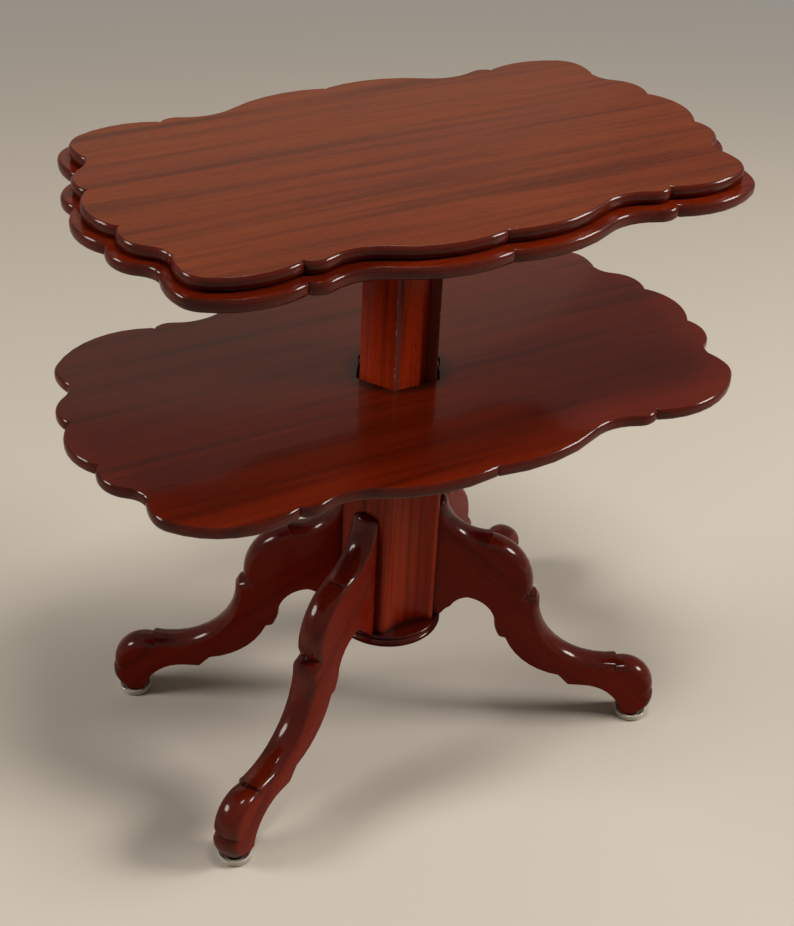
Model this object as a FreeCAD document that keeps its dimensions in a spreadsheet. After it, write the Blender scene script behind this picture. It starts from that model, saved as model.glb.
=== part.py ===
"""A telescopic three-tier serving table in mahogany, drawn half raised.

Four scrolled legs carry a hexagonal column and the lower board. A hexagonal sleeve slides in the
column with the middle board, and a hexagonal post slides in the sleeve with the top board.
Millimetres, Z up, X along the boards, the origin on the floor under the column.
"""
import FreeCAD, Part
import math
import os

SIZES = {
    # boards
    "board_thickness": 19,
    "upper_round": 7.5,
    "lower_round": 4.5,
    "top_half_length": 450,
    "top_half_depth": 261,
    "top_notch_reach": 263,
    "middle_half_length": 465,
    "middle_half_depth": 279,
    "middle_notch_reach": 265,
    "lower_half_length": 496,
    "lower_half_depth": 286,
    "lower_notch_reach": 276,
    # scallops that the three boards share
    "lobe_reach": 54,
    "hollow_setback": 68,
    "hollow_drop": 37,
    "bulge_setback": 19,
    "bulge_drop": 26,
    "bulge_radius": 32,
    "corner_drop": 21.5,
    "corner_crown_radius": 140,
    "corner_side_drop": 46.5,
    "corner_side_reach": 182,
    "corner_side_radius": 95,
    "corner_radius": 44,
    "corner_notch_reach": 152,
    "end_bulge_drop": 14,
    "end_bulge_reach": 80,
    "end_bulge_radius": 52,
    "end_notch_reach": 56,
    # column
    "column_base": 204,
    "column_height": 393,
    "column_flat": 72,
    "column_front": 60,
    "roll_setback": 7,
    "roll_depth": 3,
    "flute_depth": 5,
    "disc_thickness": 26,
    "disc_radius": 93.5,
    "disc_neck_radius": 86,
    "disc_bead_radius": 90,
    "disc_top_radius": 85,
    "plate_thickness": 22,
    "plate_length": 300,
    "plate_depth": 230,
    "plate_corner": 40,
    "plate_chamfer": 7,
    "key_width": 38,
    "key_depth": 7,
    # sleeve
    "sleeve_length": 390,
    "sleeve_flat": 55,
    "sleeve_front": 50,
    "sleeve_wall": 15,
    "slide_clearance": 1,
    "raised_gap": 292,
    "cleat_height": 50,
    "stop_clearance": 0.3,
    # post
    "post_length": 400,
    "post_flat": 39.5,
    "post_front": 38,
    "post_clearance": 0.5,
    "block_width": 36,
    "block_height": 31,
    "block_depth": 10,
    "top_travel": 296,
    # leaf catches
    "leaf_width": 16,
    "leaf_thickness": 1.5,
    "leaf_height": 62,
    "leaf_root": 26,
    "leaf_splay": 4.5,
    "leaf_tuck": 0.4,
    "leaf_clearance": 0.3,
    "leaf_side_clearance": 1,
    "recess_depth": 4,
    "recess_margin": 4,
    # legs
    "leg_height": 421,
    "leg_thickness": 44,
    "leg_dome": 11,
    "leg_crown": 14,
    "leg_seat_margin": 2,
    "foot_reach": 410,
    "foot_radius": 17,
    "sole_height": 14,
    "cup_radius": 26,
    "cup_height": 11,
    "cup_floor": 5,
    "cup_recess": 22.5,
    "cup_foot_radius": 22.5,
    "cup_foot_height": 3,
    # dowels and screws
    "dowel_radius": 4,
    "dowel_depth": 12,
    "dowel_tail": 18,
    "leg_dowel_radius": 5,
    "leg_dowel_depth": 12,
    "leg_dowel_tail": 28,
    "leg_dowel_low": 50,
    "leg_dowel_high": 165,
    "sleeve_dowel_reach": 14,
    "post_dowel_reach": 22,
    "post_dowel_side": 18,
    "screw_radius": 2.2,
    "screw_head_radius": 4.5,
    "screw_head_height": 3,
    "screw_bite": 10,
    "disc_screw_bite": 22,
    "plate_screw_reach": 118,
    "plate_screw_side": 80,
    "pin_radius": 1.3,
    "pin_head_radius": 2.8,
    "pin_head_height": 1.6,
    "pin_bite": 8,
    "pin_drop": 7,
    "pin_pitch": 11,
    "drill_clearance": 0.2,
}

# The outline of a leg, from the column over the knee to the toe and back under it. Across, a
# share runs from the column's face to the foot; upwards, from the column's base to the leg's top,
# and below the base a negative share runs down to the floor. A pair of points is an arc through
# the first to the second; a single point ends a straight.
LEG_UPPER_SHARES = [
    ((0.083, 0.802), (0.254, 0.687)),
    (0.266, 0.627),
    ((0.405, 0.502), (0.462, 0.244)),
    (0.450, 0.184),
    (0.497, 0.147),
    ((0.592, -0.255), (0.899, -0.414)),
    (0.914, -0.466),
    ((1.041, -0.515), (1.092, -0.691)),
    (1.095, -0.752),
]
LEG_TOE_SHARES = (1.090, -0.845)
LEG_SOLE_SHARES = (1.053, 0.947)
LEG_LOWER_SHARES = [
    ((0.888, -0.744), (0.749, -0.651)),
    (0.675, -0.651),
    (0.621, -0.559),
    ((0.444, -0.422), (0.352, -0.206)),
    (0.322, -0.191),
    (0.296, -0.132),
    ((0.254, 0.088), (0.160, 0.166)),
    ((0.115, 0.143), (0.083, 0.083)),
    (0.059, 0.055),
]
# The base disc's beads as shares of its thickness: crest of the lower bead, neck, crest above.
DISC_BEAD_SHARES = (0.35, 0.65, 0.83)
LEAF_BEND_SHARES = (0.45, 0.28)
SLANT = 30
SMOOTH = 2
ROUND_STEPS = 4
# Each slanted side: its direction and the hand of its mitres.
SIDES = {
    "front_right": (-SLANT, 1),
    "front_left": (SLANT - 180, -1),
    "back_left": (180 - SLANT, 1),
    "back_right": (SLANT, -1),
}
SPRUNG_SIDES = ("front_right", "back_left")

os.makedirs("parts", exist_ok=True)
doc = FreeCAD.newDocument("Server")
sheet = doc.addObject("Spreadsheet::Sheet", "Sizes")
for row, (alias, value) in enumerate(SIZES.items(), 1):
    sheet.set(f"A{row}", alias)
    sheet.set(f"B{row}", str(value))
    sheet.setAlias(f"B{row}", alias)
doc.recompute()

COLUMN_TOP = "Sizes.column_base + Sizes.column_height"
LOWER_SEAT = COLUMN_TOP + " + Sizes.plate_thickness"
LOWER_TOP = LOWER_SEAT + " + Sizes.board_thickness"
MIDDLE_SEAT = LOWER_TOP + " + Sizes.raised_gap"
TOP_SEAT = MIDDLE_SEAT + " + Sizes.board_thickness"
SLEEVE_FOOT = MIDDLE_SEAT + " - Sizes.sleeve_length"
POST_FOOT = TOP_SEAT + " - Sizes.post_length"
BLOCK_FOOT = MIDDLE_SEAT + " - Sizes.top_travel - Sizes.block_height"
UP = FreeCAD.Vector(0, 0, 1)
nodes = []


def mm(name):
    """A size from the sheet."""
    return float(getattr(sheet, name))


def total(formula):
    """The value of a sum of sizes such as LOWER_SEAT."""
    signs = formula.replace("Sizes.", "").replace("- ", "+ -").split(" + ")
    return sum(-mm(name[1:]) if name.startswith("-") else mm(name) for name in signs)


def turned(point, angle):
    """A plan point turned about the column's axis."""
    cosine, sine = math.cos(math.radians(angle)), math.sin(math.radians(angle))
    return point[0] * cosine - point[1] * sine, point[0] * sine + point[1] * cosine


def vector(point, level=0):
    return FreeCAD.Vector(point[0], point[1], level)


def straight(start, end):
    return Part.LineSegment(vector(start), vector(end))


def arc(start, through, end):
    return Part.Arc(vector(start), vector(through), vector(end))


def polygon(points):
    return [straight(a, b) for a, b in zip(points, points[1:] + points[:1])]


def path(start, steps):
    """Straights and arcs from a start through a list of steps, each as start, through, end."""
    edges = []
    for step in steps:
        through, end = step if isinstance(step[0], tuple) else (None, step)
        edges.append((start, through, end))
        start = end
    return edges


def drawn(edges):
    return [arc(*edge) if edge[1] else straight(edge[0], edge[2]) for edge in edges]


def circles(places, radius):
    return [Part.Circle(vector(place), UP, radius) for place in places]


def new_body(label, level, turn=0, finished=True):
    body = doc.addObject("PartDesign::Body", label)
    body.Label = label
    body.Placement.Rotation = FreeCAD.Rotation(UP, turn)
    body.setExpression("Placement.Base.z", level)
    if finished:
        nodes.append(body)
    return body


def sketch(body, role, edges, level=None):
    """A sketch on one of the body's own planes, moved along its normal by a level."""
    plane = next(item for item in body.Origin.OriginFeatures if item.Role == role)
    plan = body.newObject("Sketcher::SketchObject", body.Label + "_sketch")
    plan.AttachmentSupport = [(plane, "")]
    plan.MapMode = "FlatFace"
    if level:
        plan.setExpression("AttachmentOffset.Base.z", level)
    plan.addGeometry(edges, False)
    return plan


def pad(body, plan, length, both_ways=False):
    feature = body.newObject("PartDesign::Pad", body.Label + "_pad")
    feature.Profile = plan
    feature.SideType = "Symmetric" if both_ways else "One side"
    feature.setExpression("Length", length)
    doc.recompute()
    return feature


def pocket(body, plan, depth=None, along_normal=True):
    """A cut of the given depth, or through all, that has to take wood away."""
    before = body.Shape.Volume
    cut = body.newObject("PartDesign::Pocket", body.Label + "_pocket")
    cut.Profile = plan
    cut.Reversed = along_normal
    if depth:
        cut.setExpression("Length", depth)
    else:
        cut.Type = "ThroughAll"
    doc.recompute()
    if body.Shape.Volume >= before:
        raise ValueError(body.Label + " has a pocket that cuts nothing")
    return cut


def revolved(body, edges):
    plan = sketch(body, "XZ_Plane", edges)
    feature = body.newObject("PartDesign::Revolution", body.Label + "_turned")
    feature.Profile = plan
    feature.ReferenceAxis = (plan, ["V_Axis"])
    doc.recompute()
    return feature


def at_level(level):
    """Picks the edges that lie flat at one height."""
    return lambda edge: all(abs(v.Point.z - level) < Part.Precision.confusion() for v in edge.Vertexes)


def hexagon(flat, front):
    """Corners of a hexagon: slanted sides at one distance, front and back at another."""
    slant = math.radians(SLANT)
    side = flat / math.cos(slant)
    half = (flat - front * math.sin(slant)) / math.cos(slant)
    return [(side, 0), (half, front), (-half, front), (-side, 0), (-half, -front), (half, -front)]


def wing(flat):
    """Where a slanted side ends at the table's long axis, measured along the side."""
    return flat * math.tan(math.radians(SLANT))


def tip(flat, front):
    """Where a slanted side ends at the front or back, measured along the side."""
    return wing(flat) - front / math.cos(math.radians(SLANT))


def bow(centre, start, end):
    """The shorter arc about a centre."""
    middle = FreeCAD.Vector(start[0] + end[0], start[1] + end[1]) / 2 - vector(centre)
    middle.normalize()
    through = vector(centre) + middle * math.dist(centre, start)
    return start, (through.x, through.y), end


def into_wood(edge, point):
    """The direction into the wood, on the right of the run, at a point of an edge."""
    start, through, end = [vector(place) if place else None for place in edge]
    if through is None:
        run = end - start
        inward = FreeCAD.Vector(run.y, -run.x)
    else:
        inward = Part.Arc(start, through, end).toShape().Curve.Center - vector(point)
        if (through - start).cross(end - through).z > 0:
            inward = -inward
    return inward.normalize()


def meeting(before, after, depth_before, depth_after):
    """Where two neighbouring edges meet once each is moved into the wood: a smooth joint moves
    straight in, a corner along its mitre."""
    corner = before[2]
    first, second = into_wood(before, corner), into_wood(after, corner)
    if first.getAngle(second) < math.radians(SMOOTH):
        moved = vector(corner) + first * depth_before
        return moved.x, moved.y
    spread = first.x * second.y - first.y * second.x
    x = (depth_before * second.y - depth_after * first.y) / spread
    y = (depth_after * first.x - depth_before * second.x) / spread
    return corner[0] + x, corner[1] + y


def inset(edges, depths):
    """A closed outline whose edges are each moved into the wood by a depth of their own."""
    pairs = list(zip(edges, depths))
    ends = [
        meeting(edge, after, depth, next_depth)
        for (edge, depth), (after, next_depth) in zip(pairs, pairs[1:] + pairs[:1])
    ]
    moved = []
    for (edge, depth), start, end in zip(pairs, ends[-1:] + ends[:-1], ends):
        through = edge[1]
        if through:
            spot = vector(through) + into_wood(edge, through) * depth
            through = (spot.x, spot.y)
        moved.append((start, through, end))
    return moved


def loft(body, role, outline, stations):
    """A solid through flat outlines, each at a level of its own."""
    rings = [sketch(body, role, drawn(outline(depth)), level) for depth, level in stations]
    solid = body.newObject("PartDesign::AdditiveLoft", body.Label + "_loft")
    solid.Profile = rings[0]
    solid.Sections = rings[1:]
    solid.Ruled = True
    doc.recompute()
    return solid


def quarter_round(radius):
    """Inset and rise of the stations of a rounded edge, as depth and share of the radius."""
    angles = [math.radians(90 * step / ROUND_STEPS) for step in range(ROUND_STEPS + 1)]
    return [(radius * (1 - math.cos(angle)), math.sin(angle)) for angle in angles]


def between(start, end, share):
    return start[0] + (end[0] - start[0]) * share, start[1] + (end[1] - start[1]) * share


def chord(run, rise):
    """Sum of the radii of two arcs that swing smoothly from one crest to the next."""
    return (run ** 2 + rise ** 2) / (2 * rise)


def scallops(half_length, half_depth, notch):
    """A quarter of a board's edge, from the centre notch round to the end notch, as arcs."""
    bulge_radius = mm("bulge_radius")
    bulge = (notch - mm("bulge_setback"), half_depth - mm("bulge_drop") - bulge_radius)
    rise = mm("hollow_drop") - mm("bulge_drop")
    swing = chord(mm("hollow_setback") - mm("bulge_setback"), rise)
    hollow_radius = swing - bulge_radius
    hollow = (notch - mm("hollow_setback"), half_depth - mm("hollow_drop") + hollow_radius)
    hollow_end = between(hollow, bulge, hollow_radius / swing)
    swing = chord(hollow[0] - mm("lobe_reach"), mm("hollow_drop"))
    lobe_radius = swing - hollow_radius
    lobe = (mm("lobe_reach"), half_depth - lobe_radius)
    lobe_end = between(lobe, hollow, lobe_radius / swing)
    centre_notch = (0, lobe[1] + math.sqrt(lobe_radius ** 2 - lobe[0] ** 2))
    long_notch = (notch, bulge[1] + math.sqrt(bulge_radius ** 2 - mm("bulge_setback") ** 2))

    crown_radius, side_radius = mm("corner_crown_radius"), mm("corner_side_radius")
    crown_y = half_depth - mm("corner_drop") - crown_radius
    crown = (notch + math.sqrt(crown_radius ** 2 - (long_notch[1] - crown_y) ** 2), crown_y)
    side = (half_length - mm("corner_side_drop") - side_radius, mm("corner_side_reach"))
    near, far = side_radius - mm("corner_radius"), crown_radius - mm("corner_radius")
    apart = math.dist(crown, side)
    along = (apart ** 2 + far ** 2 - near ** 2) / (2 * apart)
    away = math.sqrt(far ** 2 - along ** 2)
    foot = between(crown, side, along / apart)
    run = ((side[0] - crown[0]) / apart, (side[1] - crown[1]) / apart)
    corner = (foot[0] + away * run[1], foot[1] - away * run[0])
    crown_end = between(crown, corner, crown_radius / far)
    side_start = between(side, corner, side_radius / near)
    drop = mm("corner_notch_reach") - mm("corner_side_reach")
    corner_notch = (side[0] + math.sqrt(side_radius ** 2 - drop ** 2), mm("corner_notch_reach"))

    end_radius = mm("end_bulge_radius")
    end = (half_length - mm("end_bulge_drop") - end_radius, mm("end_bulge_reach"))
    rise = end[0] + end_radius - corner_notch[0]
    swing = chord(corner_notch[1] - end[1], rise)
    cove = (corner_notch[0] + swing - end_radius, corner_notch[1])
    cove_end = between(end, cove, end_radius / swing)
    fall = mm("end_notch_reach") - mm("end_bulge_reach")
    end_notch = (end[0] + math.sqrt(end_radius ** 2 - fall ** 2), mm("end_notch_reach"))
    return [
        bow(lobe, centre_notch, lobe_end),
        bow(hollow, lobe_end, hollow_end),
        bow(bulge, hollow_end, long_notch),
        bow(crown, long_notch, crown_end),
        bow(corner, crown_end, side_start),
        bow(side, side_start, corner_notch),
        bow(cove, corner_notch, cove_end),
        bow(end, cove_end, end_notch),
    ]


def flipped(edges, east, north):
    return [tuple((x * east, y * north) for x, y in edge) for edge in edges]


def board(label, tier, level, holes, hole_radius, hole_depth, opening=None):
    """A scalloped board, rounded over all round, with holes drilled from below."""
    half_length, half_depth = mm(tier + "_half_length"), mm(tier + "_half_depth")
    quarter = scallops(half_length, half_depth, mm(tier + "_notch_reach"))
    end_notch = quarter[-1][-1]
    end_lobe = (end_notch, (half_length, 0), (end_notch[0], -end_notch[1]))
    half = quarter + [end_lobe] + [edge[::-1] for edge in flipped(quarter, 1, -1)[::-1]]
    edges = half + flipped(half, -1, -1)
    low, high = quarter_round(mm("lower_round")), quarter_round(mm("upper_round"))
    stations = [(depth, f"Sizes.lower_round * {1 - rise}") for depth, rise in low[::-1]]
    for depth, rise in high:
        stations.append((depth, f"Sizes.board_thickness - Sizes.upper_round * {1 - rise}"))
    body = new_body(label, level)
    loft(body, "XY_Plane", lambda depth: inset(edges, [depth] * len(edges)), stations)
    pocket(body, sketch(body, "XY_Plane", circles(holes, hole_radius)), hole_depth)
    if opening:
        pocket(body, sketch(body, "XY_Plane", polygon(opening)))


def rod(radius, height, base, axis=UP):
    """A cylinder bound to the sheet that starts at a point and runs along an axis."""
    cylinder = doc.addObject("Part::Cylinder", "rod")
    cylinder.setExpression("Radius", radius)
    cylinder.setExpression("Height", height)
    cylinder.Placement = FreeCAD.Placement(base, FreeCAD.Rotation(UP, axis))
    return cylinder


def screw(kind, length, base, axis=UP):
    """A round-headed screw: its head ends at the base point, its shank runs on from there."""
    head_base = base - axis * mm(kind + "_head_height")
    head = rod(f"Sizes.{kind}_head_radius", f"Sizes.{kind}_head_height", head_base, axis)
    fused = doc.addObject("Part::Fuse", "screw")
    fused.Base = head
    fused.Tool = rod(f"Sizes.{kind}_radius", length, base, axis)
    return fused


def group(label, members):
    bundle = doc.addObject("Part::Compound", label)
    bundle.Label = label
    bundle.Links = members
    nodes.append(bundle)


DOWEL_HOLE = mm("dowel_radius") + mm("drill_clearance")
LEG_DOWEL_HOLE = mm("leg_dowel_radius") + mm("drill_clearance")
SCREW_HOLE = mm("screw_radius") + mm("drill_clearance")
PIN_HOLE = mm("pin_radius") + mm("drill_clearance")
CAVITY_FLAT = mm("sleeve_flat") + mm("slide_clearance")
CAVITY_FRONT = mm("sleeve_front") + mm("slide_clearance")
BORE_FLAT = mm("sleeve_flat") - mm("sleeve_wall")
STAVE_MIDDLE = (mm("column_flat") + CAVITY_FLAT) / 2
SHELL_MIDDLE = mm("sleeve_flat") - mm("sleeve_wall") / 2
LEG_DOWEL_LEVELS = (mm("leg_dowel_low"), mm("leg_dowel_high"))
PIN_LEVELS = [mm("leaf_height") - mm("pin_drop") - mm("pin_pitch") * n for n in range(2)]
BLOCK_PINS = [(mm("block_width") / 4 * side, mm("block_height") / 2) for side in (-1, 1)]
PLATE_SCREWS = [
    (mm("plate_screw_reach") * x, mm("plate_screw_side") * y)
    for x in (-1, 1)
    for y in (-1, 1)
]
POST_DOWELS = [(mm("post_dowel_reach") * x, mm("post_dowel_side") * y) for x in (-1, 1) for y in (-1, 1)]
SHELL_DOWELS = [(SHELL_MIDDLE, mm("sleeve_dowel_reach") * y) for y in (-1, 1)]
SLEEVE_DOWELS = [turned(place, angle) for angle, _ in SIDES.values() for place in SHELL_DOWELS]
STAVE_CENTRES = [turned((STAVE_MIDDLE, 0), angle) for angle, _ in SIDES.values()]


# legs and their cups
def leg(label, angle):
    """A plank leg: stepped scrolls with a domed top, an arch below, a round pad under the toe."""
    inner, base, sole = mm("column_flat"), mm("column_base"), mm("sole_height")
    span, height = mm("foot_reach") - inner, mm("leg_height")

    def placed(step):
        if isinstance(step[0], tuple):
            return tuple(placed(point) for point in step)
        across, up = step
        return inner + across * span, base + up * (height - base if up > 0 else base)

    toe_end, heel = [(inner + share * span, sole) for share in LEG_SOLE_SHARES]
    toe = (placed(LEG_TOE_SHARES), toe_end)
    crown = (inner + mm("leg_crown"), height)
    upper = path((inner, height), [crown] + [placed(step) for step in LEG_UPPER_SHARES] + [toe])
    seat = [(mm("disc_top_radius") - mm("leg_seat_margin"), base), (inner, base), (inner, height)]
    lower = path(toe_end, [heel] + [placed(step) for step in LEG_LOWER_SHARES] + seat)
    dome = quarter_round(mm("leg_dome"))
    near = [(depth, f"-Sizes.leg_thickness / 2 * {share}") for depth, share in dome[1:]]
    far = [(depth, f"Sizes.leg_thickness / 2 * {share}") for depth, share in dome]
    body = new_body(label, "0", angle)

    def outline(depth):
        return inset(upper + lower, [depth] * len(upper) + [0] * len(lower))

    loft(body, "XZ_Plane", outline, near[::-1] + far)
    foot = circles([(mm("foot_reach"), 0)], mm("foot_radius"))
    pad(body, sketch(body, "XY_Plane", foot, "Sizes.cup_floor"), "Sizes.sole_height - Sizes.cup_floor")
    holes = circles([(0, mm("column_base") + level) for level in LEG_DOWEL_LEVELS], LEG_DOWEL_HOLE)
    plan = sketch(body, "YZ_Plane", holes, "Sizes.column_flat")
    pocket(body, plan, "Sizes.leg_dowel_tail + Sizes.drill_clearance")


def caster_cup(label, angle):
    """A clear round cup that a foot stands in."""
    rim = ((mm("cup_radius") + mm("cup_recess")) / 2, mm("cup_height"))
    shoulder = mm("cup_height") - (mm("cup_radius") - mm("cup_recess")) / 2
    steps = [
        (mm("cup_foot_radius"), 0),
        (mm("cup_radius"), mm("cup_foot_height")),
        (mm("cup_radius"), shoulder),
        (rim, (mm("cup_recess"), shoulder)),
        (mm("cup_recess"), mm("cup_floor")),
        (0, mm("cup_floor")),
        (0, 0),
    ]
    body = new_body(label, "0")
    revolved(body, drawn(path((0, 0), steps)))
    x, y = turned((mm("foot_reach"), 0), angle)
    body.Placement.Base = FreeCAD.Vector(x, y, 0)


for name, (angle, hand) in SIDES.items():
    leg("leg_" + name, angle)
    caster_cup("caster_cup_" + name, angle)


# column
def column_stave(label, angle, hand):
    """A mitred stave that carries a leg, drilled for its dowels, the plate and the disc."""
    flat = mm("column_flat")
    corners = [
        (flat, wing(flat) * hand),
        (flat, tip(flat, mm("column_front")) * hand),
        (CAVITY_FLAT, tip(CAVITY_FLAT, CAVITY_FRONT) * hand),
        (CAVITY_FLAT, wing(CAVITY_FLAT) * hand),
    ]
    body = new_body(label, "Sizes.column_base", angle)
    pad(body, sketch(body, "XY_Plane", polygon(corners)), "Sizes.column_height")
    holes = circles([(0, level) for level in LEG_DOWEL_LEVELS], LEG_DOWEL_HOLE)
    plan = sketch(body, "YZ_Plane", holes, "Sizes.column_flat")
    pocket(body, plan, "Sizes.leg_dowel_depth + Sizes.drill_clearance", along_normal=False)
    top_hole = circles([(STAVE_MIDDLE, 0)], DOWEL_HOLE)
    plan = sketch(body, "XY_Plane", top_hole, "Sizes.column_height")
    pocket(body, plan, "Sizes.dowel_tail + Sizes.drill_clearance", along_normal=False)
    foot_hole = circles([(STAVE_MIDDLE, 0)], SCREW_HOLE)
    pocket(body, sketch(body, "XY_Plane", foot_hole), "Sizes.disc_screw_bite + Sizes.drill_clearance")


def column_panel(label, angle):
    """A panel whose wide flute runs smoothly into a roll on either side, mitred to the staves."""
    front = -mm("column_front")
    outer = hexagon(mm("column_flat"), mm("column_front"))[1][0]
    inner = hexagon(CAVITY_FLAT, CAVITY_FRONT)[1][0]
    roll = (outer - mm("roll_setback"), front + mm("roll_depth"))
    roll_radius = math.hypot(mm("roll_setback"), mm("roll_depth"))
    lift = roll_radius + mm("flute_depth") - mm("roll_depth")
    reach = (roll[0] ** 2 - lift ** 2) / (2 * lift)
    joint = between(roll, (0, roll[1] - reach), roll_radius / math.hypot(roll[0], reach))
    crest = (roll[0], roll[1] - roll_radius)
    steps = [
        (crest, joint),
        ((0, front + mm("flute_depth")), (-joint[0], joint[1])),
        ((-crest[0], crest[1]), (-outer, front)),
        (-inner, -CAVITY_FRONT),
        (inner, -CAVITY_FRONT),
        (outer, front),
    ]
    body = new_body(label, "Sizes.column_base", angle)
    pad(body, sketch(body, "XY_Plane", drawn(path((outer, front), steps))), "Sizes.column_height")


for name, (angle, hand) in SIDES.items():
    column_stave("column_stave_" + name, angle, hand)
column_panel("column_panel_front", 0)
column_panel("column_panel_back", 180)

thick = mm("disc_thickness")
crest_low, neck, crest_high = [share * thick for share in DISC_BEAD_SHARES]
disc_steps = [
    (mm("disc_neck_radius"), 0),
    ((mm("disc_radius"), crest_low), (mm("disc_neck_radius"), neck)),
    ((mm("disc_bead_radius"), crest_high), (mm("disc_top_radius"), thick)),
    (0, thick),
    (0, 0),
]
base_disc = new_body("base_disc", "Sizes.column_base - Sizes.disc_thickness")
revolved(base_disc, drawn(path((0, 0), disc_steps)))
pocket(base_disc, sketch(base_disc, "XY_Plane", circles(STAVE_CENTRES, SCREW_HOLE)))


def top_plate():
    """The plate on the column: chamfered, with a key at the front that stops the sleeve."""
    half_length, half_depth, corner = mm("plate_length") / 2, mm("plate_depth") / 2, mm("plate_corner")
    outline = [
        (half_length, half_depth - corner),
        (half_length - corner, half_depth),
        (corner - half_length, half_depth),
        (-half_length, half_depth - corner),
        (-half_length, corner - half_depth),
        (corner - half_length, -half_depth),
        (half_length - corner, -half_depth),
        (half_length, corner - half_depth),
    ]
    body = new_body("column_top_plate", COLUMN_TOP)
    slab = pad(body, sketch(body, "XY_Plane", polygon(outline)), "Sizes.plate_thickness")
    lower_edges = [f"Edge{n}" for n, edge in enumerate(slab.Shape.Edges, 1) if at_level(0)(edge)]
    chamfer = body.newObject("PartDesign::Chamfer", "column_top_plate_chamfer")
    chamfer.Base = (slab, lower_edges)
    chamfer.setExpression("Size", "Sizes.plate_chamfer")
    doc.recompute()
    key = mm("key_width") / 2
    opening = hexagon(CAVITY_FLAT, CAVITY_FRONT)
    tongue = mm("key_depth") - CAVITY_FRONT
    opening[5:5] = [(-key, -CAVITY_FRONT), (-key, tongue), (key, tongue), (key, -CAVITY_FRONT)]
    pocket(body, sketch(body, "XY_Plane", polygon(opening)))
    pocket(body, sketch(body, "XY_Plane", circles(PLATE_SCREWS, SCREW_HOLE)))
    holes = circles(STAVE_CENTRES, DOWEL_HOLE)
    pocket(body, sketch(body, "XY_Plane", holes), "Sizes.dowel_depth + Sizes.drill_clearance")


top_plate()

# boards
board("lower_board", "lower", LOWER_SEAT, PLATE_SCREWS, SCREW_HOLE,
      "Sizes.screw_bite + Sizes.drill_clearance", hexagon(CAVITY_FLAT, CAVITY_FRONT))
board("middle_board", "middle", MIDDLE_SEAT, SLEEVE_DOWELS, DOWEL_HOLE,
      "Sizes.dowel_depth + Sizes.drill_clearance",
      hexagon(mm("post_flat") + mm("post_clearance"), mm("post_front") + mm("post_clearance")))
board("top_board", "top", TOP_SEAT, POST_DOWELS, DOWEL_HOLE,
      "Sizes.dowel_depth + Sizes.drill_clearance")


# sleeve
def recess(body, flat, foot):
    """A shallow bed for a leaf catch in the face at the given distance."""
    half = mm("leaf_width") / 2 + mm("leaf_side_clearance")
    floor = flat - mm("recess_depth")
    corners = [(floor, -half), (flat, -half), (flat, half), (floor, half)]
    plan = sketch(body, "XY_Plane", polygon(corners), foot + " - Sizes.recess_margin")
    pocket(body, plan, "Sizes.leaf_height + 2 * Sizes.recess_margin")


SLEEVE_LEAF_FOOT = "Sizes.sleeve_length - Sizes.raised_gap + Sizes.leaf_clearance"
POST_LEAF_FOOT = "Sizes.post_length - Sizes.raised_gap + Sizes.leaf_clearance"
sleeve_leaf_foot = total(SLEEVE_LEAF_FOOT)
post_leaf_foot = total(POST_LEAF_FOOT)


def sleeve_stave(label, angle, hand, sprung):
    """A side of the sleeve, mitred at the table's long axis and cut square at the slot."""
    flat = mm("sleeve_flat")
    slot = tip(flat, mm("sleeve_front")) * hand
    outer, inner = wing(flat) * hand, wing(BORE_FLAT) * hand
    corners = [(flat, outer), (flat, slot), (BORE_FLAT, slot), (BORE_FLAT, inner)]
    body = new_body(label, SLEEVE_FOOT, angle)
    pad(body, sketch(body, "XY_Plane", polygon(corners)), "Sizes.sleeve_length")
    plan = sketch(body, "XY_Plane", circles(SHELL_DOWELS, DOWEL_HOLE), "Sizes.sleeve_length")
    pocket(body, plan, "Sizes.dowel_tail + Sizes.drill_clearance", along_normal=False)
    if sprung:
        recess(body, flat, SLEEVE_LEAF_FOOT)
        holes = circles([(0, sleeve_leaf_foot + level) for level in PIN_LEVELS], PIN_HOLE)
        plan = sketch(body, "YZ_Plane", holes, "Sizes.sleeve_flat - Sizes.recess_depth")
        pocket(body, plan, "Sizes.pin_bite + Sizes.drill_clearance", along_normal=False)


def cleat(label, angle):
    """A block that fills the foot of a slot and ties the two sides of the sleeve."""
    flat, front = mm("sleeve_flat"), mm("sleeve_front")
    slot = tip(flat, front)
    outer = turned((flat, slot), -SLANT)
    inner = turned((BORE_FLAT, slot), -SLANT)
    corners = [outer, inner, (-inner[0], inner[1]), (-outer[0], outer[1])]
    level = COLUMN_TOP + " - Sizes.stop_clearance - Sizes.cleat_height"
    body = new_body(label, level, angle)
    pad(body, sketch(body, "XY_Plane", polygon(corners)), "Sizes.cleat_height")


def leaf(label, level, flat, angle, swing):
    """A flat spring: its root is screwed down in the bed and its foot stands at the swing."""
    floor = -mm("recess_depth")
    skin = mm("leaf_thickness")
    top, root = mm("leaf_height"), mm("leaf_height") - mm("leaf_root")
    bend_z, bend_x = LEAF_BEND_SHARES
    travel = swing - floor - skin
    inner_bend = (floor + travel * bend_x, root * bend_z)
    outer_bend = (inner_bend[0] + skin, inner_bend[1])
    steps = [
        (floor + skin, top),
        (floor + skin, root),
        (outer_bend, (swing, 0)),
        (swing - skin, 0),
        (inner_bend, (floor, root)),
        (floor, top),
    ]
    body = new_body(label, level, angle)
    x, y = turned((flat, 0), angle)
    strip = sketch(body, "XZ_Plane", drawn(path((floor, top), steps)))
    pad(body, strip, "Sizes.leaf_width", both_ways=True)
    holes = circles([(0, height) for height in PIN_LEVELS], PIN_HOLE)
    pocket(body, sketch(body, "YZ_Plane", holes), along_normal=False)
    body.Placement.Base.x = x
    body.Placement.Base.y = y


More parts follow.
